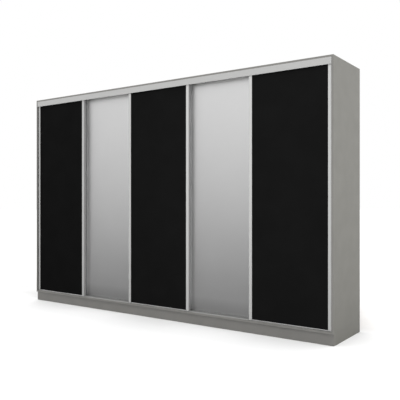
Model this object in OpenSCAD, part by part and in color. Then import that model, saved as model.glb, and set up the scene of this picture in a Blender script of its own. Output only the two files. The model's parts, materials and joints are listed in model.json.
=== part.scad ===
// Sliding door wardrobe with five framed doors on a double track.
// The front faces -Y and +X runs to the right. The origin is on the floor, at the middle of the base.

/* [Carcass] */
// Overall width over the side panels
width = 3500; // [3440:10:3560]
// Overall height from the floor to the top face
height = 2244; // [2100:4:2400]
// Overall depth from the front edges to the outside of the back
depth = 600; // [580:5:660]
// Thickness of the laminated boards
board = 16; // [15:0.5:18]
// Thickness of the hardboard back sheets
back_t = 3; // [2.5:0.5:4]

/* [Plinth] */
// Height of the plinth under the bottom board
plinth_h = 92; // [60:2:140]
// Setback of the plinth from the front edge of the carcass
plinth_recess = 15; // [5:1:40]

/* [Doors] */
// Width of each door
door_w = 735; // [725:1:750]
// Setback of the front doors from the front edge of the carcass
door_recess = 12; // [10:1:20]
// Distance between the front and the rear plane of doors
plane_pitch = 46; // [44:1:50]
// Free space between an end door and the side panel
end_gap = 1.5; // [1:0.5:4]
// Free space under a door, above the bottom board
door_lift = 6; // [6:0.5:8]
// Free space over a door, below the top board
door_head = 22; // [20:1:26]

/* [Door frame] */
// Width of the upright frame profile, seen from the front
stile_w = 30; // [28:1:34]
// Depth of the upright frame profile
stile_d = 30; // [30:0.5:32]
// Wall thickness of the upright frame profile
stile_wall = 1.8; // [1.5:0.1:2]
// Radius of the outer front edge of the upright profile
stile_edge_r = 3; // [2:0.5:4]
// Height of the slim top and bottom rails
rail_h = 7; // [7:0.5:12]
// Wall thickness of the top and bottom rails
rail_wall = 1.5; // [1.2:0.1:1.8]
// Thickness of the door filling
panel_t = 10; // [9.5:0.1:10]
// Thickness of the mirror glass that faces a mirror door
mirror_t = 4; // [3:0.5:5]
// Distance from the front of the frame to the panel groove
panel_set = 6; // [5:0.5:7]

/* [Tracks] */
// Height of the front fascia of the top track
fascia_h = 54; // [50:1:60]
// Thickness of the fascia
fascia_t = 2; // [1.8:0.1:2.5]
// Height of the guide fins under the top track
fin_h = 32; // [30:1:36]
// Thickness of the base of the bottom track
base_t = 1.5; // [1.2:0.1:2]
// Height of a running rib above the bottom board
rib_h = 4.5; // [4:0.1:4.6]

/* [Rollers] */
// Radius on which a wheel runs
wheel_run_r = 12.5; // [12:0.1:13]
// Radius of a wheel over its flanges
wheel_flange_r = 14; // [13.5:0.1:14]
// Width of a wheel
wheel_w = 6; // [5.5:0.1:6.2]
// Distance from a door's edge to the wheel's axle
wheel_inset = 80; // [70:5:140]

/* [Interior] */
// Height of the top shelf above the floor
top_shelf_z = 1900; // [1850:10:1950]
// Height of the low shelf above the floor
low_shelf_z = 400; // [350:10:450]
// Radius of the hanging rails
hang_r = 12.5; // [10:0.5:15]
// Distance from the top shelf's underside to the axis of a hanging rail
hang_drop = 56; // [45:1:80]

/* [Hidden] */
$fn = 48;

doors = 5;
tiny = 0.01;

// Carcass planes
front_y = -depth / 2;
back_y = depth / 2 - back_t;
inner_w = width - 2 * board;
floor_z = plinth_h + board;
ceiling_z = height - board;

// Door places: i runs from 1 at the left to 5 at the right, and even doors run on the rear rib
door_pitch = (inner_w - 2 * end_gap - door_w) / (doors - 1);
door_overlap = door_w - door_pitch;
door_z0 = floor_z + door_lift;
door_z1 = ceiling_z - door_head;
function door_x(i) = -inner_w / 2 + end_gap + (i - 1) * door_pitch;
function rear(i) = i % 2 == 0 ? 1 : 0;
function plane_y(i) = front_y + door_recess + rear(i) * plane_pitch;

// Frame profile
slot_depth = 2.5;
slot_w = 10;
slot_y = (stile_d - slot_w) / 2;
slot_wall_x = slot_depth + stile_wall;
inner_edge_r = 1;
panel_play = 0.1;
panel_y = panel_set + panel_play;
groove_w = panel_t + 2 * panel_play;
groove_depth = 10;
groove_x = stile_w - groove_depth;
panel_engage = 8;
rail_y0 = panel_set - rail_wall;
rail_d = groove_w + 2 * rail_wall;

// Frame screws lie in a slot under the seat of the filling, with their heads in the slot of the stile
frame_screw_r = 1.5;
frame_screw_play = 0.1;
frame_screw_len = 46;
frame_head_r = 2.8;
frame_head_h = 2.2;
frame_head_gap = 0.2;
frame_screw_y = slot_y + frame_head_r + frame_head_gap;
frame_screw_z = rail_wall + frame_screw_r + frame_screw_play;
rail_seat_z = frame_screw_z + frame_screw_r + frame_screw_play;

// Tracks
fin_t = 1.5;
mid_fin_y = front_y + door_recess + stile_d + (plane_pitch - stile_d) / 2;
rear_fin_y = mid_fin_y + plane_pitch;
bead_r = 1.6;
track_gap = 0.5;
track_len = inner_w - 2 * track_gap;
rib_w = 2;
rib_set = 23.6;
base_margin = 2;
base_y0 = front_y + door_recess + base_margin;
base_y1 = front_y + door_recess + plane_pitch + stile_d + 3 * base_margin;
lip_t = 1.2;
lip_h = 2.5;

// Rollers
run_gap = 0.3;
axle_r = 2.5;
axle_play = 0.05;
wheel_z = floor_z + rib_h + run_gap + wheel_run_r;
housing_w = 52;
housing_gap = 0.1;
housing_set = 0.5;
housing_y0 = rail_y0 + rail_d + housing_gap;
housing_y1 = stile_d - housing_set;
housing_z0 = 5;
housing_z1 = 64;
wheel_slot_w = wheel_w + 0.8;
wheel_slot_r = wheel_flange_r + 1;
flange_t = 0.8;
groove_side = 0.8;

// Top guides
shoe_gap = 0.5;
shoe_len = 50;
shoe_h = 9;
shoe_top = 4;
shoe_taper = 5;
guide_inset = 70;
foot_len = 44;
foot_h = 3;
stem_len = 28;
stem_set = 1;

// Interior: board k stands behind the overlap of doors k and k + 1
track_clear = 9;
shelf_set = 12;
part_y0 = rear_fin_y + track_clear;
shelf_y0 = part_y0 + shelf_set;
shelf_gap = 0.3;
shelf_bays = 5;
shelf_step = (top_shelf_z - low_shelf_z) / shelf_bays;
hang_y = (shelf_y0 + back_y) / 2;
hang_z = top_shelf_z - board - hang_drop;
hang_wall = 1.2;
socket_t = 3;
socket_flange = 11;
socket_wall = 3.2;
socket_cup = 12;
pin_r = 2.5;
pin_in = 8;
pin_out = 8;
pin_inset = 37;
back_margin = 1;
plinth_joint = 0.2;
function part_x(k) = door_x(k) + door_w - door_overlap / 2;
function bay_x0(i) = i == 1 ? -inner_w / 2 : part_x(i - 1) + board / 2;
function bay_x1(i) = i == doors ? inner_w / 2 : part_x(i) - board / 2;
function upright_x(n) = n == 0 ? -(width - board) / 2 : n == doors ? (width - board) / 2 : part_x(n);

// Screws
screw_r = 3.5;
screw_head_r = 5;
screw_head_h = 2;
screw_len = 50;
screw_front = 130;
screw_margin = 60;
track_screw_r = 2;
track_head_r = 3.8;
track_head_h = 1.4;
track_screw_len = 14;
track_screws = 6;
function track_screw_x(n) = (n + 0.5) * track_len / track_screws - track_len / 2;

laminate = [0.56, 0.55, 0.53];
black = [0.09, 0.09, 0.09];
aluminium = [0.77, 0.77, 0.75];
steel = [0.66, 0.67, 0.68];

// ---- shared shapes ----

// A box from its low corner to its high corner
module block(low, high) {
  translate(low) cube(high - low);
}

// What a rounded edge of radius r takes off the corner at the origin
module edge_cut(r) {
  difference() {
    translate([-1, -1]) square(r + 1);
    translate([r, r]) circle(r);
  }
}

// A profile drawn in Y (across) and Z (up), extruded along X from x0 to x1
module along_x(x0, x1) {
  translate([x0, 0, 0]) rotate([90, 0, 90]) linear_extrude(x1 - x0) children();
}

// Everything drawn for the left end of door i, and its mirror image for the right end
module at_door(i) {
  translate([door_x(i), plane_y(i), door_z0]) children();
}

module at_door_end(i, right) {
  if (right) at_door(i) translate([door_w, 0, 0]) mirror([1, 0, 0]) children();
  else at_door(i) children();
}

// ---- carcass ----

module side_panel(s) {
  color(laminate) block(
    [s * (width - board) / 2 - board / 2, front_y, floor_z],
    [s * (width - board) / 2 + board / 2, back_y, ceiling_z]
  );
}

// Places of the carcass screws along the depth, at upright n
function screw_ys(n) = n == 0 || n == doors
  ? [front_y + screw_front, 0, back_y - screw_margin]
  : [part_y0 + screw_margin, back_y - screw_margin];

// Connecting screws drawn head down at z = 0, over all the uprights
module at_carcass_screws() {
  for (n = [0:doors], y = screw_ys(n)) translate([upright_x(n), y, 0]) children();
}

module carcass_screw(play) {
  cylinder(h = screw_head_h, r = screw_head_r + play);
  cylinder(h = screw_len, r = screw_r + play);
}

module bottom_screws(play) {
  translate([0, 0, plinth_h]) at_carcass_screws() carcass_screw(play);
}

module top_screws(play) {
  translate([0, 0, height]) mirror([0, 0, 1]) at_carcass_screws() carcass_screw(play);
}

module top_board() {
  color(laminate) difference() {
    block([-width / 2, front_y, ceiling_z], [width / 2, back_y, height]);
    top_screws(0);
  }
}

module bottom_board() {
  color(laminate) difference() {
    block([-width / 2, front_y, plinth_h], [width / 2, back_y, floor_z]);
    bottom_screws(0);
  }
}

module partition(k) {
  color(laminate) block(
    [part_x(k) - board / 2, part_y0, floor_z],
    [part_x(k) + board / 2, back_y, ceiling_z]
  );
}

// One shelf in bay i with its top face at z
module shelf(i, z) {
  block([bay_x0(i) + shelf_gap, shelf_y0, z - board], [bay_x1(i) - shelf_gap, back_y, z]);
}

module shelves() {
  color(laminate) {
    for (i = [1:doors]) shelf(i, top_shelf_z);
    for (i = [1:doors]) shelf(i, low_shelf_z);
    for (i = [2, 4], n = [1:shelf_bays - 1]) shelf(i, low_shelf_z + n * shelf_step);
  }
}

// Four pins under each movable shelf, tangent to its underside
module shelf_pins() {
  color(steel)
    for (i = [2, 4], n = [1:shelf_bays - 1], y = [shelf_y0 + pin_inset, back_y - pin_inset])
      translate([0, y, low_shelf_z + n * shelf_step - board - pin_r]) {
        translate([bay_x0(i) - pin_in, 0, 0]) rotate([0, 90, 0]) cylinder(h = pin_in + pin_out, r = pin_r);
        translate([bay_x1(i) - pin_out, 0, 0]) rotate([0, 90, 0]) cylinder(h = pin_in + pin_out, r = pin_r);
      }
}

// Hanging rails cross the bays behind the black doors
module hanging_rails() {
  color(steel)
    for (i = [1:2:doors])
      translate([bay_x0(i) + socket_t, hang_y, hang_z]) rotate([0, 90, 0]) difference() {
        cylinder(h = bay_x1(i) - bay_x0(i) - 2 * socket_t, r = hang_r);
        translate([0, 0, -1]) cylinder(h = bay_x1(i) - bay_x0(i), r = hang_r - hang_wall);
      }
}

// A flange against the board and a cup round the end of the rail
module rail_socket() {
  cylinder(h = socket_t, r = hang_r + socket_flange);
  difference() {
    cylinder(h = socket_t + socket_cup, r = hang_r + socket_wall);
    translate([0, 0, socket_t]) cylinder(h = socket_cup + 1, r = hang_r + tiny);
  }
}

module rail_sockets() {
  color(steel)
    for (i = [1:2:doors]) {
      translate([bay_x0(i), hang_y, hang_z]) rotate([0, 90, 0]) rail_socket();
      translate([bay_x1(i), hang_y, hang_z]) rotate([0, -90, 0]) rail_socket();
    }
}

// One sheet of hardboard behind each bay, meeting on the partitions
module back_panels() {
  color([0.80, 0.79, 0.77])
    for (i = [1:doors]) {
      x0 = i == 1 ? -width / 2 + back_margin : part_x(i - 1) + back_margin / 2;
      x1 = i == doors ? width / 2 - back_margin : part_x(i) - back_margin / 2;
      block([x0, back_y, plinth_h + back_margin], [x1, depth / 2, height - back_margin]);
    }
}

module plinth_front() {
  color(laminate) block(
    [-width / 2, front_y + plinth_recess, 0],
    [width / 2, front_y + plinth_recess + board, plinth_h]
  );
}

// Rear board, two ends and a brace under each partition, with a hairline joint to the rear board
module plinth_frame() {
  y0 = front_y + plinth_recess + board;
  y1 = back_y - board - plinth_joint;
  color(laminate) {
    for (n = [0:doors])
      block([upright_x(n) - board / 2, y0, 0], [upright_x(n) + board / 2, y1, plinth_h]);
    block([-width / 2, back_y - board, 0], [width / 2, back_y, plinth_h]);
  }
}

// ---- tracks ----

module track_top_profile() {
  translate([front_y, ceiling_z - fascia_t]) square([rear_fin_y + fin_t / 2 - front_y, fascia_t]);
  translate([front_y, ceiling_z - fascia_h + bead_r]) square([fascia_t, fascia_h - bead_r]);
  translate([front_y + bead_r, ceiling_z - fascia_h + bead_r]) circle(bead_r);
  for (y = [mid_fin_y, rear_fin_y])
    translate([y - fin_t / 2, ceiling_z - fin_h]) square([fin_t, fin_h]);
}

module top_track_screws(play) {
  for (n = [0:track_screws - 1])
    translate([track_screw_x(n), (mid_fin_y + rear_fin_y) / 2, ceiling_z - fascia_t]) {
      translate([0, 0, -track_head_h]) cylinder(h = track_head_h, r = track_head_r);
      cylinder(h = track_screw_len, r = track_screw_r + play);
    }
}

module bottom_track_screws(play) {
  for (n = [0:track_screws - 1])
    translate([track_screw_x(n), mid_fin_y, floor_z + base_t]) {
      cylinder(h = track_head_h, r = track_head_r);
      translate([0, 0, -track_screw_len]) cylinder(h = track_screw_len, r = track_screw_r + play);
    }
}

module track_top() {
  color(aluminium) difference() {
    along_x(-track_len / 2, track_len / 2) track_top_profile();
    top_track_screws(0.1);
  }
}

module track_bottom_profile() {
  translate([base_y0, floor_z]) square([base_y1 - base_y0, base_t]);
  for (y = [base_y0, base_y1 - lip_t]) translate([y, floor_z]) square([lip_t, lip_h]);
  for (i = [1, 2])
    translate([plane_y(i) + rib_set, floor_z]) {
      translate([-rib_w / 2, 0]) square([rib_w, rib_h - rib_w / 2]);
      translate([0, rib_h - rib_w / 2]) circle(rib_w / 2);
    }
}

module track_bottom() {
  color(aluminium) difference() {
    along_x(-track_len / 2, track_len / 2) track_bottom_profile();
    bottom_track_screws(0.1);
  }
}

module carcass_screws() {
  color(steel) {
    top_screws(0);
    bottom_screws(0);
    top_track_screws(0);
    bottom_track_screws(0);
  }
}

// ---- doors ----

// Plan section of the left upright: outer edge at x = 0, front face at y = 0
module stile_profile() {
  web_x = groove_x - stile_wall;
  rear_y = panel_set + groove_w + stile_wall;
  difference() {
    square([stile_w, stile_d]);
    edge_cut(stile_edge_r);
    translate([0, stile_d]) mirror([0, 1]) edge_cut(stile_edge_r);
    translate([stile_w, 0]) mirror([1, 0]) edge_cut(inner_edge_r);
    translate([-tiny, slot_y]) square([slot_depth + tiny, slot_w]);
    translate([groove_x, panel_set]) square([groove_depth + 1, groove_w]);
    translate([slot_wall_x, stile_wall]) square([web_x - slot_wall_x, stile_d - 2 * stile_wall]);
    translate([web_x + stile_wall, rear_y])
      square([stile_w - 2 * stile_wall - web_x, stile_d - stile_wall - rear_y]);
  }
}

// Axes of the two screws that hold a stile to the rails, along +X from the outer edge
module at_frame_screws() {
  for (z = [frame_screw_z, door_z1 - door_z0 - frame_screw_z])
    translate([0, frame_screw_y, z]) rotate([0, 90, 0]) children();
}

module stile(i, right) {
  color(aluminium) at_door_end(i, right) difference() {
    linear_extrude(door_z1 - door_z0) stile_profile();
    at_frame_screws() cylinder(h = stile_w, r = frame_screw_r + frame_screw_play);
  }
}

// Section of the bottom rail: a seat for the edge of the filling, over a slot that takes the screws
module rail_profile() {
  slot_r = frame_screw_r + frame_screw_play;
  difference() {
    translate([rail_y0, 0]) square([rail_d, rail_h]);
    translate([panel_set, rail_seat_z]) square([groove_w, rail_h]);
    translate([frame_screw_y - slot_r, rail_wall]) square([2 * slot_r, rail_h]);
  }
}

module rails(i) {
  color(aluminium) at_door(i) {
    along_x(stile_w, door_w - stile_w) rail_profile();
    translate([0, 0, door_z1 - door_z0]) mirror([0, 0, 1])
      along_x(stile_w, door_w - stile_w) rail_profile();
  }
}

// The filling of a door between depths y0 and y1 behind the front of the frame
module filling(i, y0, y1) {
  x0 = stile_w - panel_engage;
  z0 = rail_seat_z + panel_play;
  at_door(i) block([x0, y0, z0], [door_w - x0, y1, door_z1 - door_z0 - z0]);
}

module black_panel(i) {
  color(black) filling(i, panel_y, panel_y + panel_t);
}

module mirror_glass(i) {
  color([0.8, 0.82, 0.83]) filling(i, panel_y, panel_y + mirror_t);
}

module mirror_backing(i) {
  color(laminate) filling(i, panel_y + mirror_t, panel_y + panel_t);
}

// A housing on the back of the filling, with a slot for the wheel and the axle across it
module carriage() {
  axle_z = wheel_z - door_z0;
  difference() {
    union() {
      block([-housing_w / 2, housing_y0, housing_z0], [housing_w / 2, housing_y1, housing_z1]);
      block([-housing_w / 2, panel_y + panel_t, rail_h + 1], [housing_w / 2, housing_y0, housing_z1]);
    }
    block(
      [-wheel_slot_r, rib_set - wheel_slot_w / 2, housing_z0 - 1],
      [wheel_slot_r, rib_set + wheel_slot_w / 2, axle_z + wheel_slot_r]
    );
  }
  translate([0, housing_y0 + 1, axle_z]) rotate([-90, 0, 0])
    cylinder(h = housing_y1 - housing_y0 - 1, r = axle_r);
}

module frame_screw() {
  translate([0, 0, slot_depth - frame_head_h]) cylinder(h = frame_head_h, r = frame_head_r);
  translate([0, 0, slot_depth]) cylinder(h = frame_screw_len, r = frame_screw_r);
}

module fittings(i) {
  color(steel) for (right = [false, true]) at_door_end(i, right) {
    translate([wheel_inset, 0, 0]) carriage();
    at_frame_screws() frame_screw();
  }
}

module wheel(i, right) {
  half = wheel_w / 2;
  groove_top = half - flange_t;
  groove_floor = groove_top - groove_side;
  color([0.85, 0.85, 0.83]) at_door_end(i, right)
    translate([wheel_inset, rib_set, wheel_z - door_z0]) rotate([-90, 0, 0]) rotate_extrude()
      polygon([
        [axle_r + axle_play, -half], [wheel_flange_r, -half], [wheel_flange_r, -groove_top],
        [wheel_run_r, -groove_floor], [wheel_run_r, groove_floor], [wheel_flange_r, groove_top],
        [wheel_flange_r, half], [axle_r + axle_play, half]
      ]);
}

// Plan outline of a guide shoe with tapered ends, centred on x
module shoe_outline(y0, y1) {
  end = shoe_len / 2;
  side = end - shoe_taper;
  polygon([
    [-end, y0 + shoe_taper], [-side, y0], [side, y0], [end, y0 + shoe_taper],
    [end, y1 - shoe_taper], [side, y1], [-side, y1], [-end, y1 - shoe_taper]
  ]);
}

// A foot on the top rail, a stem and a shoe that fills the channel of the top track
module guide(i) {
  y0 = (rear(i) == 1 ? mid_fin_y + fin_t / 2 : front_y + fascia_t) + shoe_gap - plane_y(i);
  y1 = (rear(i) == 1 ? rear_fin_y : mid_fin_y) - fin_t / 2 - shoe_gap - plane_y(i);
  top = door_head - fascia_t - shoe_top;
  translate([0, 0, door_z1 - door_z0]) {
    block([-foot_len / 2, rail_y0, 0], [foot_len / 2, rail_y0 + rail_d, foot_h]);
    block(
      [-stem_len / 2, rail_y0 + stem_set, foot_h],
      [stem_len / 2, rail_y0 + rail_d - stem_set, top - shoe_h]
    );
    translate([0, 0, top - shoe_h]) linear_extrude(shoe_h) shoe_outline(y0, y1);
  }
}

module guides(i) {
  color([0.2, 0.2, 0.21]) for (right = [false, true])
    at_door_end(i, right) translate([guide_inset, 0, 0]) guide(i);
}

// ---- output ----

side_panel(-1);  // side_left
side_panel(1);  // side_right
top_board();
bottom_board();
partition(1);  // partition_1
partition(2);  // partition_2
partition(3);  // partition_3
partition(4);  // partition_4
shelves();
shelf_pins();
hanging_rails();
rail_sockets();
back_panels();
plinth_front();
plinth_frame();
track_top();
track_bottom();
carcass_screws();

stile(1, false);  // door_1_stile_left
stile(1, true);  // door_1_stile_right
rails(1);  // door_1_rails
black_panel(1);  // door_1_panel
fittings(1);  // door_1_fittings
guides(1);  // door_1_guides
wheel(1, false);  // door_1_wheel_left
wheel(1, true);  // door_1_wheel_right

stile(2, false);  // door_2_stile_left
stile(2, true);  // door_2_stile_right
rails(2);  // door_2_rails
mirror_glass(2);  // door_2_mirror
mirror_backing(2);  // door_2_backing
fittings(2);  // door_2_fittings
guides(2);  // door_2_guides
wheel(2, false);  // door_2_wheel_left
wheel(2, true);  // door_2_wheel_right

stile(3, false);  // door_3_stile_left
stile(3, true);  // door_3_stile_right
rails(3);  // door_3_rails
black_panel(3);  // door_3_panel
fittings(3);  // door_3_fittings
guides(3);  // door_3_guides
wheel(3, false);  // door_3_wheel_left
wheel(3, true);  // door_3_wheel_right

stile(4, false);  // door_4_stile_left
stile(4, true);  // door_4_stile_right
rails(4);  // door_4_rails
mirror_glass(4);  // door_4_mirror
mirror_backing(4);  // door_4_backing
fittings(4);  // door_4_fittings
guides(4);  // door_4_guides
wheel(4, false);  // door_4_wheel_left
wheel(4, true);  // door_4_wheel_right

stile(5, false);  // door_5_stile_left
stile(5, true);  // door_5_stile_right
rails(5);  // door_5_rails
black_panel(5);  // door_5_panel
fittings(5);  // door_5_fittings
guides(5);  // door_5_guides
wheel(5, false);  // door_5_wheel_left
wheel(5, true);  // door_5_wheel_right
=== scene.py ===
"""Looks of the sliding door wardrobe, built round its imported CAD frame. Metres, front towards -Y, +Z up."""

import json
import math

import bmesh
import bpy
from mathutils import Matrix, Vector

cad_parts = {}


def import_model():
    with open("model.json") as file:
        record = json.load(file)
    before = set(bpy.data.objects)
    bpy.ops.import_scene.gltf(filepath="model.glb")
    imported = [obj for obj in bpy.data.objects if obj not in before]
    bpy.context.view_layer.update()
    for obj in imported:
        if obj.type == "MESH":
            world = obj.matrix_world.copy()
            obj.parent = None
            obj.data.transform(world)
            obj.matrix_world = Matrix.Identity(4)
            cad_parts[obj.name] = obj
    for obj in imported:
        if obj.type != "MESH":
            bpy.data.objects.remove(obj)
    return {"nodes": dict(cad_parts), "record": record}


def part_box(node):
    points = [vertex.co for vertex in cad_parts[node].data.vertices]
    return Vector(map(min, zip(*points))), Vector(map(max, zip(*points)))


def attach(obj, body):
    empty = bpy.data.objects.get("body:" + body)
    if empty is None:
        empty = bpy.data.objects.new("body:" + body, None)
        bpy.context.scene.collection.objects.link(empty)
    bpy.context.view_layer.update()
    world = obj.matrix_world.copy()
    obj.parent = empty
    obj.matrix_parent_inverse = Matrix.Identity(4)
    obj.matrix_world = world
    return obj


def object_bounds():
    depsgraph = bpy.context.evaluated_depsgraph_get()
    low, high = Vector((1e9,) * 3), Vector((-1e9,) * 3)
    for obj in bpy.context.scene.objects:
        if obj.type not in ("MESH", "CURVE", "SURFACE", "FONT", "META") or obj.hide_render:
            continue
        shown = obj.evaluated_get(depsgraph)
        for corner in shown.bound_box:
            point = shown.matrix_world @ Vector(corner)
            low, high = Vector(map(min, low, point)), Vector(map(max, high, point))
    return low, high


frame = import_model()
CAD_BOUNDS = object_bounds()
NODES = frame["nodes"]
LOW, HIGH = CAD_BOUNDS
WIDTH, DEPTH, HEIGHT = HIGH - LOW
MM = 0.001

DOORS = (1, 2, 3, 4, 5)
BLACK_DOORS = (1, 3, 5)
MIRROR_DOORS = (2, 4)
SIDES = ("left", "right")
PARTITIONS = ("partition_1", "partition_2", "partition_3", "partition_4")
# Edges of the front doors that overlap a rear door, and edges that close against a side panel.
OVERLAPPING_EDGES = ((1, "right"), (3, "left"), (3, "right"), (5, "left"))
CLOSING_EDGES = ((1, "left"), (5, "right"))


# ---------------------------------------------------------------- materials

WHITE = (1, 1, 1, 1)
NOISE_BAND = (0.3, 0.7)     # most of a noise texture lies between these values
ALONG_X = (0.01, 1, 1)      # texture scales that draw lines along an axis
ALONG_Z = (1, 1, 0.01)
MOTTLE_SHARE = 0.94         # light of the darker tone in a fine mottling
ROUGHNESS_PLAY = 0.05       # how far a plain finish strays from its roughness, either way
SILVER_BLUE = -1            # sRGB steps by which the blue of anodised aluminium differs from its grey
FACING_LIMIT = 0.9          # part of a normal along Y that counts as facing the front or the back
FOOT_SHADE_REACH = 0.13           # height of the painted shade at the foot of a mirror
FOOT_SHADE_CURVE = 0.6            # under 1, the painted shade clears fast just above the mirror's bottom edge
DIM_REACH = (-1.2, 0.4)     # x up to which a painted shade dims a tone, and from which the tone is full


def srgb(value):
    """Linear value of an sRGB value between 0 and 1."""
    return value / 12.92 if value <= 0.04045 else ((value + 0.055) / 1.055) ** 2.4


def colour(red, green, blue):
    """Linear RGBA of an sRGB colour given as 0 to 255."""
    return tuple(srgb(c / 255) for c in (red, green, blue)) + (1.0,)


def grey(level, more_blue=0):
    """Linear RGBA of an sRGB grey given as 0 to 255, with its blue a little off."""
    return colour(level, level, level + more_blue)


def darker(tone):
    """The darker tone of a fine mottling."""
    return tuple(c * MOTTLE_SHARE for c in tone[:3]) + (1.0,)


class Nodes:
    """A node material, and short calls that add nodes to it."""

    def __init__(self, name):
        self.material = bpy.data.materials.new(name)
        self.material.use_nodes = True
        self.tree = self.material.node_tree

    def node(self, kind, **inputs):
        """A new node, with constants on some of its inputs."""
        made = self.tree.nodes.new(kind)
        for key, value in inputs.items():
            made.inputs[key.replace("_", " ")].default_value = value
        return made

    def feed(self, socket, value):
        """Links another node's output to an input, or sets a constant on it."""
        if isinstance(value, bpy.types.NodeSocket):
            self.tree.links.new(value, socket)
        else:
            socket.default_value = value

    def here(self):
        """Object coordinates. At rest they are the frame's own."""
        return self.node("ShaderNodeTexCoord").outputs["Object"]

    def place(self, scale=(1, 1, 1)):
        """Object coordinates stretched by a scale per axis."""
        mapping = self.node("ShaderNodeMapping", Scale=scale)
        self.feed(mapping.inputs["Vector"], self.here())
        return mapping.outputs["Vector"]

    def split(self, vector):
        """The X, Y and Z of a vector."""
        made = self.node("ShaderNodeSeparateXYZ")
        self.feed(made.inputs["Vector"], vector)
        return made.outputs["X"], made.outputs["Y"], made.outputs["Z"]

    def noise(self, where, scale, detail, roughness=0.5):
        """A noise texture."""
        made = self.node("ShaderNodeTexNoise", Scale=scale, Detail=detail, Roughness=roughness)
        self.feed(made.inputs["Vector"], where)
        return made.outputs["Fac"]

    def compute(self, operation, *values):
        """A Math node on one or two values, each an output or a number."""
        made = self.node("ShaderNodeMath")
        made.operation = operation
        for socket, value in zip(made.inputs, values):
            self.feed(socket, value)
        return made.outputs["Value"]

    def span(self, source, low, high, reach=NOISE_BAND):
        """Maps a value that runs over a reach to a number from low to high."""
        from_min, from_max = reach
        made = self.node("ShaderNodeMapRange", From_Min=from_min, From_Max=from_max, To_Min=low, To_Max=high)
        self.feed(made.inputs["Value"], source)
        return made.outputs["Result"]

    def share(self, source, reach):
        """0 where a value lies below a reach, 1 above it, and even between."""
        return self.span(source, 0.0, 1.0, reach)

    def ramp(self, source, low, high):
        """Maps a noise texture to a colour from low to high."""
        made = self.node("ShaderNodeValToRGB")
        first, last = made.color_ramp.elements
        first.position, last.position = NOISE_BAND
        first.color, last.color = low, high
        self.feed(made.inputs["Fac"], source)
        return made.outputs["Color"]

    def mottle(self, source, tone):
        """A tone, and a slightly darker one where a noise texture is low."""
        return self.ramp(source, darker(tone), tone)

    def steps(self, source, stops, smooth=True):
        """Linear greys that follow a value through stops of (value, tone)."""
        start, end = stops[0][0], stops[-1][0]
        made = self.node("ShaderNodeValToRGB")
        made.color_ramp.interpolation = "EASE" if smooth else "LINEAR"
        for _ in stops[2:]:
            made.color_ramp.elements.new(0.5)
        for element, (at, tone) in zip(made.color_ramp.elements, stops):
            element.position = (at - start) / (end - start)
            element.color = (tone, tone, tone, 1)
        self.feed(made.inputs["Fac"], self.share(source, (start, end)))
        return made.outputs["Color"]

    def blend(self, factor, first, second, mode="MIX"):
        """A colour from the first to the second, or another mode of mixing them."""
        made = self.node("ShaderNodeMix")
        made.data_type = "RGBA"
        made.blend_type = mode
        self.feed(made.inputs["Factor"], factor)
        self.feed(made.inputs["A"], first)
        self.feed(made.inputs["B"], second)
        return made.outputs["Result"]

    def facing(self, back=False):
        """1 where the surface faces the front, or the back, of the wardrobe."""
        _, towards, _ = self.split(self.node("ShaderNodeTexCoord").outputs["Normal"])
        if back:
            return self.compute("GREATER_THAN", towards, FACING_LIMIT)
        return self.compute("LESS_THAN", towards, -FACING_LIMIT)

    def rightwards(self):
        """0 at the left of the wardrobe, and 1 from about its middle on: the mask of the painted shade
        towards the left.
        """
        across, _, _ = self.split(self.here())
        return self.share(across, DIM_REACH)


class Surface(Nodes):
    """A material with one Principled BSDF, and constants on some of its inputs."""

    def __init__(self, name, **constants):
        super().__init__(name)
        self.bsdf = self.tree.nodes["Principled BSDF"]
        for key, value in constants.items():
            self.bsdf.inputs[key.replace("_", " ")].default_value = value

    def paint(self, tone):
        self.feed(self.bsdf.inputs["Base Color"], tone)

    def polish(self, roughness):
        self.feed(self.bsdf.inputs["Roughness"], roughness)

    def bump(self, height, strength, distance):
        made = self.node("ShaderNodeBump", Strength=strength, Distance=distance)
        self.feed(made.inputs["Height"], height)
        self.feed(self.bsdf.inputs["Normal"], made.outputs["Normal"])


class Glow(Nodes):
    """A material that only gives light."""

    def __init__(self, name):
        super().__init__(name)
        self.tree.nodes.clear()
        self.light = self.node("ShaderNodeEmission")
        out = self.node("ShaderNodeOutputMaterial")
        self.feed(out.inputs["Surface"], self.light.outputs["Emission"])

    def shine(self, tone, strength=1.0):
        self.feed(self.light.inputs["Color"], tone)
        self.feed(self.light.inputs["Strength"], strength)


def laminate():
    """Warm grey melamine with a fine pearl texture, and a plain band along the front edge."""
    s = Surface("laminate", Specular_IOR_Level=0.25)
    where = s.place()
    cloud = s.noise(where, scale=9, detail=4)
    face = s.ramp(cloud, colour(114, 113, 108), colour(118, 117, 112))
    band = s.ramp(cloud, colour(110, 109, 106), colour(114, 113, 110))
    s.paint(s.blend(s.facing(), face, band))
    grain = s.noise(where, scale=900, detail=3)
    s.polish(s.span(grain, 0.50, 0.60))
    s.bump(grain, strength=0.15, distance=0.0002)
    return s.material


def black_laminate():
    """Very matt black melamine, with a painted shade that makes it a touch darker at the left."""
    s = Surface("black_panel", Specular_IOR_Level=0.04)
    where = s.place()
    cloud = s.noise(where, scale=6, detail=3)
    left = s.ramp(cloud, grey(10), grey(12))
    right = s.ramp(cloud, grey(14), grey(16))
    # The darker left tones are painted shade, not a different melamine.
    s.paint(s.blend(s.rightwards(), left, right))
    grain = s.noise(where, scale=1200, detail=2)
    s.polish(s.span(grain, 0.70, 0.82))
    s.bump(grain, strength=0.12, distance=0.00015)
    return s.material


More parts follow.
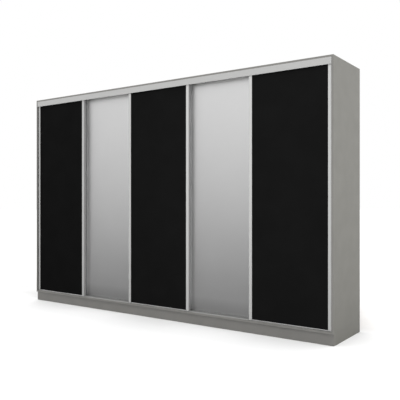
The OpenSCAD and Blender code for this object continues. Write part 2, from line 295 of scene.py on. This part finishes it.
def anodised(name, stretch, front, other, front_left=None):
    """Satin anodised aluminium with fine lines along the extrusion, in grey levels that paint light and
    shade: one on its front face, and another on its sides and inner faces. The front may start from a level
    of its own at the left of the wardrobe, a painted shade there."""
    s = Surface(name, Metallic=0.35, Anisotropic=0.3)
    lines = s.noise(s.place(stretch), scale=1500, detail=2)
    other_tone = s.mottle(lines, grey(other, SILVER_BLUE))
    front_tone = s.mottle(lines, grey(front, SILVER_BLUE))
    if front_left:
        left_tone = s.mottle(lines, grey(front_left, SILVER_BLUE))
        front_tone = s.blend(s.rightwards(), left_tone, front_tone)
    s.paint(s.blend(s.facing(), other_tone, front_tone))
    s.polish(s.span(lines, 0.42, 0.52))
    s.bump(lines, strength=0.05, distance=0.0001)
    return s.material


def mirror_glass():
    """Silver mirror with a satin face, and a painted shade that darkens it a little towards its bottom edge.
    """
    s = Surface("mirror_glass", Metallic=1.0)
    where = s.place()
    cloud = s.noise(where, scale=3, detail=2)
    _, _, up = s.split(where)
    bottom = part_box("door_2_mirror")[0].z
    # Painted shade darkens the mirror's foot; clear is 1 above it.
    clear = s.compute("POWER", s.share(up, (bottom, bottom + FOOT_SHADE_REACH)), FOOT_SHADE_CURVE)
    foot_shade = s.ramp(cloud, grey(184), grey(187))
    silver = s.ramp(cloud, grey(235), grey(238))
    s.paint(s.blend(clear, foot_shade, silver))
    s.polish(s.span(cloud, 0.44, 0.47))
    return s.material


def hardboard():
    """Hardboard: a pale lacquered face inside, and bare brown fibres on the outside."""
    s = Surface("hardboard", Specular_IOR_Level=0.2)
    fibres = s.noise(s.place((1, 1, 0.35)), scale=420, detail=6, roughness=0.75)
    cloud = s.noise(s.place(), scale=40, detail=3)
    lacquer = s.ramp(cloud, colour(190, 188, 182), colour(198, 196, 190))
    bare = s.ramp(fibres, colour(128, 106, 82), colour(158, 134, 106))
    s.paint(s.blend(s.facing(back=True), lacquer, bare))
    s.polish(s.span(fibres, 0.55, 0.75))
    s.bump(fibres, strength=0.25, distance=0.0002)
    return s.material


def plain(name, tone, roughness, metallic=0.0):
    """A slightly mottled finish for small parts."""
    s = Surface(name, Metallic=metallic)
    speck = s.noise(s.place(), scale=600, detail=2)
    s.paint(s.mottle(speck, tone))
    s.polish(s.span(speck, roughness - ROUGHNESS_PLAY, roughness + ROUGHNESS_PLAY))
    return s.material


def pile(name, low, high):
    """Brush pile: fine hairs that stand out from the frame."""
    s = Surface(name, Roughness=0.95, Specular_IOR_Level=0.1)
    hairs = s.noise(s.place((0.05, 0.05, 1)), scale=4000, detail=2)
    s.paint(s.ramp(hairs, low, high))
    s.bump(hairs, strength=0.4, distance=0.0003)
    return s.material


# The finish of each material slot of the record.
FINISHES = {
    "laminate": laminate(),
    "black_panel": black_laminate(),
    # The anodised levels are painted: a lit front, shaded sides and inner faces, and a dimmer front at the
    # left.
    "anodised": anodised("anodised", ALONG_Z, 190, 150, front_left=172),
    "mirror_glass": mirror_glass(),
    "hardboard": hardboard(),
    "zinc_steel": plain("zinc_steel", colour(190, 192, 196), 0.35, metallic=1.0),
    "chromed_tube": plain("chromed_tube", colour(225, 225, 228), 0.12, metallic=1.0),
    "guide_nylon": plain("guide_nylon", colour(40, 40, 42), 0.5),
    "wheel_nylon": plain("wheel_nylon", colour(215, 215, 212), 0.4),
    "pile_seal": pile("pile_seal", grey(105, 1), grey(150, 1)),
    "rubber_seal": plain("rubber_seal", grey(17, 1), 0.6),
}
PALE_PILE = pile("pale_pile", grey(200, 1), grey(240, 1))
# Rails painted lighter, as if lit, on the black doors, and darker, as if in shade, on the recessed mirror
# doors.
LIT_RAIL = anodised("lit_rail", ALONG_X, 238, 152)
SHADED_RAIL = anodised("shaded_rail", ALONG_X, 150, 135)

# CAD nodes whose lines run along X, each with grey levels of its own that paint light and shade: lit inner
# faces on the top track, light and shade on the bottom track, and the painted rails.
LIT_AND_SHADED_FINISHES = {
    "track_top": anodised("track_top_lit_and_shaded", ALONG_X, 172, 232),
    "track_bottom": anodised("track_bottom_lit_and_shaded", ALONG_X, 174, 160),
    **{f"door_{i}_rails": LIT_RAIL for i in BLACK_DOORS},
    **{f"door_{i}_rails": SHADED_RAIL for i in MIRROR_DOORS},
}


def finish_cad_nodes():
    """Every carried-over CAD node gets a finish with painted light and shade of its own, or else that of its
    record slot.
    """
    for row in frame["record"]["subparts"]:
        data = NODES[row["node"]].data
        data.materials.clear()
        data.materials.append(LIT_AND_SHADED_FINISHES.get(row["node"]) or FINISHES[row["material_slot"]])


# ---------------------------------------------------------------- building pieces

SAME_POINT = 0.01 * MM      # vertices closer than this are one
TOUCH = 1 * MM              # faces closer than this touch
OVERCUT = 1 * MM            # how far a cut starts outside the face it goes into
FACETS_BIG = 20             # faces round big, medium and small round solids
FACETS_MEDIUM = 16
FACETS_SMALL = 12
EDGE_ANGLE = 60             # edges that turn more than these degrees are rounded

# Turns from +Z to a named direction.
TURNS = {
    "+x": Matrix.Rotation(math.radians(90), 4, "Y"),
    "-x": Matrix.Rotation(math.radians(-90), 4, "Y"),
    "+y": Matrix.Rotation(math.radians(-90), 4, "X"),
    "-z": Matrix.Rotation(math.radians(180), 4, "X"),
}


def as_mesh(name, shape):
    """Turns a bmesh into a mesh."""
    mesh = bpy.data.meshes.new(name)
    shape.to_mesh(mesh)
    shape.free()
    return mesh


def as_object(name, mesh):
    """Puts a mesh into the scene."""
    made = bpy.data.objects.new(name, mesh)
    bpy.context.scene.collection.objects.link(made)
    return made


def solid_object(name, shape):
    """Puts a closed bmesh into the scene, with its faces turned outwards."""
    bmesh.ops.recalc_face_normals(shape, faces=shape.faces)
    return as_object(name, as_mesh(name, shape))


def piece(name, shape, slot, body, finish=None):
    """A piece that rides on a body, in a slot's finish or in a finish of its own."""
    made = solid_object(name, shape)
    made.data.materials.append(finish or FINISHES[slot])
    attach(made, body)


def cutter(name, shape):
    """A hidden mesh that a Boolean takes away from CAD nodes."""
    made = solid_object(name, shape)
    made.hide_render = True
    return made


def refine(node, edge=0.0, cut=None):
    """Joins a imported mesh's loose faces, rounds its edges and cuts a hidden mesh out of it."""
    modifiers = NODES[node].modifiers
    modifiers.new("join", "WELD").merge_threshold = SAME_POINT
    if edge:
        rounding = modifiers.new("edge", "BEVEL")
        rounding.width = edge
        rounding.segments = 2
        rounding.limit_method = "ANGLE"
        rounding.angle_limit = math.radians(EDGE_ANGLE)
    if cut:
        hole = modifiers.new("cut", "BOOLEAN")
        hole.operation = "DIFFERENCE"
        hole.solver = "MANIFOLD"
        hole.object = cut


def solids(node):
    """The low and high corner of each separate solid of a CAD node, from left to right."""
    shape = bmesh.new()
    shape.from_mesh(NODES[node].data)
    bmesh.ops.remove_doubles(shape, verts=shape.verts, dist=SAME_POINT)
    found = []
    unseen = set(shape.verts)
    while unseen:
        waiting = [unseen.pop()]
        corners = []
        while waiting:
            vert = waiting.pop()
            corners.append(vert.co.copy())
            for edge in vert.link_edges:
                other = edge.other_vert(vert)
                if other in unseen:
                    unseen.discard(other)
                    waiting.append(other)
        low = Vector([min(c[k] for c in corners) for k in range(3)])
        high = Vector([max(c[k] for c in corners) for k in range(3)])
        found.append((low, high))
    shape.free()
    return sorted(found, key=lambda box: [round(v, 5) for v in (*box[0], *box[1])])


def block(shape, low, high):
    """A box from its low corner to its high corner."""
    low, high = Vector(low), Vector(high)
    place = Matrix.Translation((low + high) / 2) @ Matrix.Diagonal((*(high - low), 1))
    bmesh.ops.create_cube(shape, size=1, matrix=place)


def skirt(shape, lower, upper):
    """Faces between two rings of vertices."""
    for n in range(len(lower)):
        m = (n + 1) % len(lower)
        shape.faces.new((lower[n], lower[m], upper[m], upper[n]))


def turned(shape, at, towards, profile, facets=FACETS_MEDIUM):
    """A round solid on a point, from (radius, height) rings that climb in the named direction."""
    place = Matrix.Translation(at) @ TURNS[towards]
    rings = []
    for radius, height in profile:
        ring = []
        for n in range(facets):
            angle = 2 * math.pi * n / facets
            point = Vector((radius * math.cos(angle), radius * math.sin(angle), height))
            ring.append(shape.verts.new(place @ point))
        rings.append(ring)
    shape.faces.new(rings[0])
    shape.faces.new(rings[-1])
    for lower, upper in zip(rings, rings[1:]):
        skirt(shape, lower, upper)


def upright(shape, outline, bottom, top):
    """A prism over a plan outline, from z bottom to z top."""
    lower = [shape.verts.new((x, y, bottom)) for x, y in outline]
    upper = [shape.verts.new((x, y, top)) for x, y in outline]
    shape.faces.new(lower)
    shape.faces.new(upper)
    skirt(shape, lower, upper)


def round_frame(shape, low, high, y, profile):
    """A mitred bead round the rectangle from low to high (x, z). Each point of its profile says how far
    it lies inwards from the uprights, inwards from the rails, and forwards of y."""
    rings = []
    for from_upright, from_rail, forwards in profile:
        x0, x1 = low[0] + from_upright, high[0] - from_upright
        z0, z1 = low[1] + from_rail, high[1] - from_rail
        corners = ((x0, z0), (x1, z0), (x1, z1), (x0, z1))
        rings.append([shape.verts.new((x, y - forwards, z)) for x, z in corners])
    for ring, after in zip(rings, rings[1:] + rings[:1]):
        skirt(shape, ring, after)


# ---------------------------------------------------------------- door details

# The pile in the slot along the outer edge of each stile.
SLOT_DEPTH = 2.5 * MM
SLOT_INSET = 10 * MM        # from the front of the stile
SLOT_W = 10 * MM
SLOT_ENDS = 9 * MM          # of the stile, left bare at its top and bottom
PILE_PLAY = 0.2 * MM
PILE_BASE_T = 0.9 * MM
PILE_HALF = 3.4 * MM
EDGE_PROUD = 1.1 * MM       # past the stile, where the edge closes against a side panel
EDGE_FLUSH = -0.2 * MM      # just under the face of the stile, elsewhere

# The brush on the back of a stile that overlaps a rear door.
BRUSH_SET = 17 * MM         # from the edge of the door
BRUSH_BASE = 5 * MM
BRUSH_TUFT = 3 * MM
BRUSH_HOLDER = 3 * MM
BRUSH_REACH = 15.3 * MM
BRUSH_TOP_SET = 11 * MM

TUFT_SHOULDER = 0.7         # share of a tuft's length at which it starts to thin
TUFT_TIP = 0.6              # share of its width at its tip

RAIL_H = 7 * MM             # height of the rails above and below a filling

# Gasket profiles for round_frame, in millimetres.
SLIM_GASKET = ((0, 0, 0), (1.3, 1.3, 0), (1.2, 1.2, 0.6), (0.7, 0.7, 1.1), (0, 0, 1.4))
DEEP_GASKET = (
    (0, 0, 0), (1.3, 1.3, 0), (1.3, 1.3, 4.4), (0.9, 0.9, 5.5),
    (0.05, -1.5, 5.5), (0.05, -1.5, 1.8), (0.02, 0, 1.8),
)

SCREW_DOME = ((2.7 * MM, 0), (2.7 * MM, 0.5 * MM), (2.1 * MM, 1.0 * MM), (1.0 * MM, 1.25 * MM))
HOUSING_MIN_H = 40 * MM     # the roller housings are the only fittings that are taller
HOUSING_SCREW_OUT = 17 * MM
HOUSING_SCREW_DROP = 12 * MM


def tuft(base, tip, half):
    """Half outline of a tuft as (across, out), which thins to its tip."""
    return [(half, base), (half, base + (tip - base) * TUFT_SHOULDER), (half * TUFT_TIP, tip)]


def both_ways(half):
    """A closed outline from its half at positive across."""
    return half + [(-across, out) for across, out in reversed(half)]


def edge_pile(i, side):
    """The pile in the outer edge slot of a stile, which stands a little proud beside a side panel."""
    low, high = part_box(f"door_{i}_stile_{side}")
    outer, out = (low.x, -1) if side == "left" else (high.x, 1)
    floor = outer - out * SLOT_DEPTH
    middle = low.y + SLOT_INSET + SLOT_W / 2
    proud = EDGE_PROUD if (i, side) in CLOSING_EDGES else EDGE_FLUSH
    half_base = SLOT_W / 2 - PILE_PLAY
    half = [(half_base, 0), (half_base, PILE_BASE_T), *tuft(PILE_BASE_T, SLOT_DEPTH + proud, PILE_HALF)]
    outline = [(floor + out * reach, middle + across) for across, reach in both_ways(half)]
    shape = bmesh.new()
    upright(shape, outline, low.z + SLOT_ENDS, high.z - SLOT_ENDS)
    piece(f"door_{i}_edge_pile_{side}", shape, "pile_seal", f"door_{i}")


def overlap_brush(i, side):
    """A brush seal in a soft holder on the back of a front door's stile, which reaches towards the rear
    doors and ends under the guide fin of the top track."""
    low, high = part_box(f"door_{i}_stile_{side}")
    inwards = BRUSH_SET + BRUSH_BASE / 2
    middle = low.x + inwards if side == "left" else high.x - inwards
    parts = (
        ("brush", "pile_seal", PALE_PILE, tuft(BRUSH_HOLDER, BRUSH_REACH, BRUSH_TUFT / 2)),
        ("brush_holder", "rubber_seal", None, [(BRUSH_BASE / 2, 0), (BRUSH_TUFT / 2, BRUSH_HOLDER)]),
    )
    for name, slot, finish, half in parts:
        outline = [(middle + across, high.y + reach) for across, reach in both_ways(half)]
        shape = bmesh.new()
        upright(shape, outline, low.z, high.z - BRUSH_TOP_SET)
        piece(f"door_{i}_{name}_{side}", shape, slot, f"door_{i}", finish)


def gasket(i):
    """A soft bead that seals the filling to the frame: deep beside a black panel, slim beside a mirror."""
    filling, profile = ("panel", DEEP_GASKET) if i in BLACK_DOORS else ("mirror", SLIM_GASKET)
    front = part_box(f"door_{i}_{filling}")[0].y
    left_low, left_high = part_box(f"door_{i}_stile_left")
    right_low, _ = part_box(f"door_{i}_stile_right")
    low = (left_high.x, left_low.z + RAIL_H)
    high = (right_low.x, left_high.z - RAIL_H)
    shape = bmesh.new()
    round_frame(shape, low, high, front, [[v * MM for v in point] for point in profile])
    piece(f"door_{i}_gasket", shape, "rubber_seal", f"door_{i}")


def carriage_screws(i):
    """Two domed screws on the back of each roller housing."""
    shape = bmesh.new()
    for low, high in solids(f"door_{i}_fittings"):
        if high.z - low.z < HOUSING_MIN_H:
            continue
        middle = (low.x + high.x) / 2
        for x in (middle - HOUSING_SCREW_OUT, middle + HOUSING_SCREW_OUT):
            turned(shape, (x, high.y, high.z - HOUSING_SCREW_DROP), "+y", SCREW_DOME)
    piece(f"door_{i}_carriage_screws", shape, "zinc_steel", f"door_{i}")


def door_details():
    """Everything that rides on the doors."""
    for i in DOORS:
        gasket(i)
        carriage_screws(i)
        for side in SIDES:
            edge_pile(i, side)
    for i, side in OVERLAPPING_EDGES:
        overlap_brush(i, side)


# ---------------------------------------------------------------- carcass details

BOARD_EDGE = 0.6 * MM
PLINTH_EDGE = 2.5 * MM

# The thin dark strip on each side panel's inner face, which stands in for the shade in the gap before the end
# door.
SHADE_STRIP_T = 1.1 * MM
SHADE_STRIP_SET = 0.8 * MM    # behind the front edge of the side panel
SHADE_STRIP_SLOPE = 1 * MM
SHADE_STRIP_GAP = 0.6 * MM    # in front of the end door
SHADE_STRIP_TOP_GAP = 1 * MM

HOLE_R = 2.5 * MM
HOLE_DEPTH = 11 * MM
HOLE_STEP = 32 * MM
HOLE_ROWS = (-2, -1, 1, 2)  # below and above each shelf pin

DIMPLE_R = 3.6 * MM
DIMPLE_FLOOR_R = 3.2 * MM
DIMPLE_DEPTH = 0.9 * MM
NAIL_HEAD = ((2.8 * MM, 0), (2.8 * MM, 0.4 * MM), (2.0 * MM, 0.7 * MM), (0.9 * MM, 0.85 * MM))
NAIL_STEP = 150 * MM
NAIL_INSET = 7.5 * MM

CAP_PROFILE = ((8.5 * MM, 0), (8.5 * MM, 0.5 * MM), (7.8 * MM, 1.0 * MM), (2 * MM, 1.2 * MM))
CAP_INSET = 32 * MM         # from the ends of a shelf
CAP_SET = 70 * MM           # from its front and back edges
PIN_TO_SHELF = 8 * MM       # a shelf this close above the foot of a pin lies on it

SOCKET_SCREW_OUT = 19.5 * MM
SOCKET_FLANGE_T = 3 * MM

CROSS_LONG = 2.4 * MM
CROSS_HALF = 0.55 * MM
CROSS_DEPTH = 1.2 * MM
TRACK_SCREW_TOP = 0.12      # z just above the screws of the bottom track


def side_shade_strips():
    """A thin dark strip on the inner face of each side panel, in front of the end door's edge, which stands
    in for the shade in that gap.
    """
    door_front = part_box("door_1_stile_left")[0].y
    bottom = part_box("track_bottom")[1].z
    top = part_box("track_top")[0].z - SHADE_STRIP_TOP_GAP
    for side in SIDES:
        low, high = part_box(f"side_{side}")
        face, out = (high.x, 1) if side == "left" else (low.x, -1)
        front, back = low.y + SHADE_STRIP_SET, door_front - SHADE_STRIP_GAP
        proud, half_proud = face + out * SHADE_STRIP_T, face + out * SHADE_STRIP_T * 0.5
        outline = (
            (face, front), (half_proud, front), (proud, front + SHADE_STRIP_SLOPE), (proud, back), (face, back),
        )
        shape = bmesh.new()
        upright(shape, outline, bottom, top)
        piece(f"side_shade_strip_{side}", shape, "rubber_seal", "carcass")


def pin_holes(node):
    """A cutter for rows of holes above and below each shelf pin in the faces of an upright board."""
    low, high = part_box(node)
    shape = bmesh.new()
    for pin_low, pin_high in solids("shelf_pins"):
        pin = (pin_low + pin_high) / 2
        if abs(pin.x - high.x) < TOUCH:
            start, towards = high.x - HOLE_DEPTH, "+x"
        elif abs(pin.x - low.x) < TOUCH:
            start, towards = low.x + HOLE_DEPTH, "-x"
        else:
            continue
        for n in HOLE_ROWS:
            at = (start, pin.y, pin.z + n * HOLE_STEP)
            turned(shape, at, towards, ((HOLE_R, 0), (HOLE_R, HOLE_DEPTH + OVERCUT)), FACETS_SMALL)
    return cutter(f"{node}_holes", shape)


def spread(low, high, step):
    """Even places between low and high, about a step apart and a nail's inset from both."""
    span = high - low - 2 * NAIL_INSET
    count = max(1, round(span / step))
    return [low + NAIL_INSET + span * n / count for n in range(count + 1)]


def nail_places():
    """Along all four edges of each back sheet."""
    places = []
    for low, high in solids("back_panels"):
        for z in spread(low.z, high.z, NAIL_STEP):
            places += [(x, high.y, z) for x in (low.x + NAIL_INSET, high.x - NAIL_INSET)]
        for x in spread(low.x, high.x, NAIL_STEP)[1:-1]:
            places += [(x, high.y, z) for z in (low.z + NAIL_INSET, high.z - NAIL_INSET)]
    return places


def back_nails():
    """Nail heads pressed just under the face of the back sheets."""
    dimples = bmesh.new()
    heads = bmesh.new()
    for x, y, z in nail_places():
        at = (x, y - DIMPLE_DEPTH, z)
        turned(dimples, at, "+y", ((DIMPLE_FLOOR_R, 0), (DIMPLE_R, DIMPLE_DEPTH + OVERCUT)), FACETS_SMALL)
        turned(heads, at, "+y", NAIL_HEAD, FACETS_SMALL)
    refine("back_panels", cut=cutter("back_dimples", dimples))
    piece("back_nails", heads, "zinc_steel", "carcass")


def shelf_caps():
    """Round caps over the fixing bolts under the ends of each fixed shelf."""
    shape = bmesh.new()
    pin_feet = {round(low.z, 3) for low, _ in solids("shelf_pins")}
    for low, high in solids("shelves"):
        if any(abs(low.z - z) < PIN_TO_SHELF for z in pin_feet):
            continue
        for x in (low.x + CAP_INSET, high.x - CAP_INSET):
            for y in (low.y + CAP_SET, high.y - CAP_SET):
                turned(shape, (x, y, low.z), "-z", CAP_PROFILE, FACETS_BIG)
    piece("shelf_caps", shape, "laminate", "carcass")


def socket_screws():
    """Two screws on the flange of each socket of the hanging rails."""
    right_faces = [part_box(node)[1].x for node in ("side_left", *PARTITIONS)]
    shape = bmesh.new()
    for low, high in solids("rail_sockets"):
        middle = (low + high) / 2
        if any(abs(low.x - face) < TOUCH for face in right_faces):
            flange, towards = low.x + SOCKET_FLANGE_T, "+x"
        else:
            flange, towards = high.x - SOCKET_FLANGE_T, "-x"
        for out in (-SOCKET_SCREW_OUT, SOCKET_SCREW_OUT):
            turned(shape, (flange, middle.y, middle.z + out), towards, SCREW_DOME)
    piece("socket_screws", shape, "zinc_steel", "carcass")


def screw_crosses():
    """Cuts a cross into the heads of the screws in the top board and in the bottom track."""
    shape = bmesh.new()
    for low, high in solids("carcass_screws"):
        if TRACK_SCREW_TOP < high.z < HEIGHT - TOUCH:
            continue
        middle = (low + high) / 2
        for half_x, half_y in ((CROSS_LONG, CROSS_HALF), (CROSS_HALF, CROSS_LONG)):
            block(
                shape,
                (middle.x - half_x, middle.y - half_y, high.z - CROSS_DEPTH),
                (middle.x + half_x, middle.y + half_y, high.z + OVERCUT),
            )
    refine("carcass_screws", cut=cutter("screw_crosses", shape))


def carcass_details():
    """Everything that rides on the carcass, and the rounding of its boards."""
    for node in ("side_left", "side_right", "top_board", "bottom_board", "shelves", "plinth_frame"):
        refine(node, edge=BOARD_EDGE)
    refine("plinth_front", edge=PLINTH_EDGE)
    for node in PARTITIONS:
        refine(node, edge=BOARD_EDGE, cut=pin_holes(node))
    side_shade_strips()
    back_nails()
    shelf_caps()
    socket_screws()
    screw_crosses()


# ---------------------------------------------------------------- stage

FLOOR_SIZE = 400            # so large that its edge is never seen

# Tones of the floor that the camera sees, by distance from the wardrobe's base: a painted shadow that
# lightens away from the base, then a darker tone far off.
FLOOR_TONES = ((0.0, 0.84), (0.12, 0.86), (0.30, 0.88), (0.45, 0.90), (0.65, 0.93), (1.5, 0.75))

# Tones of the floor that gives the bounced light, darker near the wardrobe's base as painted shade.
BOUNCE_TONES = ((0.0, 0.64), (0.6, 0.92))

# The soft shade beside and behind the wardrobe follows y, and starts nearer the front at the left. It
# ends at an edge on the right that leans to the left, and it fades with distance.
SHADE_TURN = 0.12
SHADE_TONES = (
    (-0.3, 1.0), (-0.05, 0.97), (0.08, 0.85), (0.25, 0.76),
    (0.6, 0.74), (0.9, 0.76), (1.3, 0.88), (1.7, 1.0),
)
SHADE_LEAN = 0.36
SHADE_EDGE = (1.85, 2.16)
SHADE_FADE = (0.9, 1.5)

BACKDROP_R = 60.0
BACKDROP_SEGMENTS = 48

# The wall that the mirrors reflect: tones by height, and gains from its left to its right.
WALL_R = 9.0
WALL_SEGMENTS = 96
WALL_TONES = ((-6.0, 0.0), (-1.8, 0.0), (-0.5, 0.28), (1.1, 0.65), (2.6, 0.83), (4.4, 0.91), (9.0, 0.94))
WALL_REACH = (-7.5, -3.0)
WALL_GAINS = (0.88, 1.09)

WORLD_LIGHT = 1.6

# A level view from the right, so that uprights stay upright.
LENS_MM = 50
SENSOR_MM = 36
SHIFT_UP = -0.0007
CAMERA_AT = (3.3597, -4.3691, 1.1281)
CAMERA_TURN = 35.08


def stage_object(name, mesh, material, seen_by):
    """A stage mesh that only the given kinds of ray see, out of camera, diffuse and glossy."""
    mesh.materials.append(material)
    made = as_object(name, mesh)
    made.visible_camera = "camera" in seen_by
    made.visible_diffuse = "diffuse" in seen_by
    made.visible_glossy = "glossy" in seen_by
    made.visible_transmission = False
    made.visible_volume_scatter = False
    made.visible_shadow = False


def floor_mesh(name, z):
    """A large level square."""
    half = FLOOR_SIZE / 2
    mesh = bpy.data.meshes.new(name)
    corners = [(-half, -half, z), (half, -half, z), (half, half, z), (-half, half, z)]
    mesh.from_pydata(corners, [], [(0, 1, 2, 3)])
    return mesh


def floor_material(name, tones, shaded=False):
    """A pale matt floor with a painted shadow whose tone follows the distance from the wardrobe's base, and
    which may have a painted soft shade beside and behind it."""
    s = Surface(name, Roughness=0.9, Specular_IOR_Level=0.0)
    x, y, _ = s.split(s.place())
    squares = []
    for value, half in ((x, WIDTH / 2), (y, DEPTH / 2)):
        beyond = s.compute("MAXIMUM", s.compute("SUBTRACT", s.compute("ABSOLUTE", value), half), 0.0)
        squares.append(s.compute("MULTIPLY", beyond, beyond))
    away = s.compute("SQRT", s.compute("ADD", *squares))
    tone = s.steps(away, tones)
    if shaded:
        behind = s.compute("SUBTRACT", y, s.compute("MULTIPLY", x, SHADE_TURN))
        edge = s.compute("ADD", x, s.compute("MULTIPLY", y, SHADE_LEAN))
        clear = s.compute("MAXIMUM", s.share(edge, SHADE_EDGE), s.share(away, SHADE_FADE))
        shade = s.blend(clear, s.steps(behind, SHADE_TONES), WHITE)
        tone = s.blend(1.0, tone, shade, "MULTIPLY")
    s.paint(tone)
    return s.material


def floors():
    """One floor for the camera, and one just under it that gives the bounced light."""
    seen = floor_material("floor", FLOOR_TONES, shaded=True)
    stage_object("floor", floor_mesh("floor", 0.0), seen, ("camera",))
    bounce = floor_material("bounce_floor", BOUNCE_TONES)
    stage_object("bounce_floor", floor_mesh("bounce_floor", -MM), bounce, ("diffuse",))


def backdrop():
    """A white round backdrop for the camera."""
    glow = Glow("backdrop")
    glow.shine(WHITE)
    shape = bmesh.new()
    rings = BACKDROP_SEGMENTS // 2
    bmesh.ops.create_uvsphere(shape, u_segments=BACKDROP_SEGMENTS, v_segments=rings, radius=BACKDROP_R)
    stage_object("backdrop", as_mesh("backdrop", shape), glow.material, ("camera",))


def reflected_wall():
    """A round studio wall, seen only in reflections, dark at the bottom and light at the top, and a little
    lighter to the right. To light that has already met a matt surface it is white."""
    glow = Glow("reflected_wall")
    x, _, z = glow.split(glow.here())
    matt_bounces = glow.node("ShaderNodeLightPath").outputs["Diffuse Depth"]
    wall = glow.steps(z, WALL_TONES, smooth=False)
    glow.shine(glow.blend(matt_bounces, wall, WHITE), glow.span(x, *WALL_GAINS, WALL_REACH))
    low, high = WALL_TONES[0][0], WALL_TONES[-1][0]
    shape = bmesh.new()
    bmesh.ops.create_cone(
        shape, cap_ends=True, segments=WALL_SEGMENTS, radius1=WALL_R, radius2=WALL_R, depth=high - low
    )
    bmesh.ops.translate(shape, vec=(0, 0, (high + low) / 2), verts=shape.verts)
    stage_object("reflected_wall", as_mesh("reflected_wall", shape), glow.material, ("glossy",))


def world():
    """Even white light from all round."""
    made = bpy.data.worlds.new("studio")
    made.use_nodes = True
    background = made.node_tree.nodes["Background"]
    background.inputs["Color"].default_value = WHITE
    background.inputs["Strength"].default_value = WORLD_LIGHT
    bpy.context.scene.world = made


def camera():
    """The camera at the photograph's viewing angle."""
    data = bpy.data.cameras.new("camera")
    data.lens = LENS_MM
    data.sensor_width = SENSOR_MM
    data.shift_y = SHIFT_UP
    made = as_object("camera", data)
    made.location = CAMERA_AT
    made.rotation_euler = (math.radians(90), 0, math.radians(CAMERA_TURN))
    bpy.context.scene.camera = made


# ---------------------------------------------------------------- build

finish_cad_nodes()
door_details()
carcass_details()
floors()
backdrop()
reflected_wall()
world()
camera()
bpy.context.scene.view_settings.view_transform = "Standard"
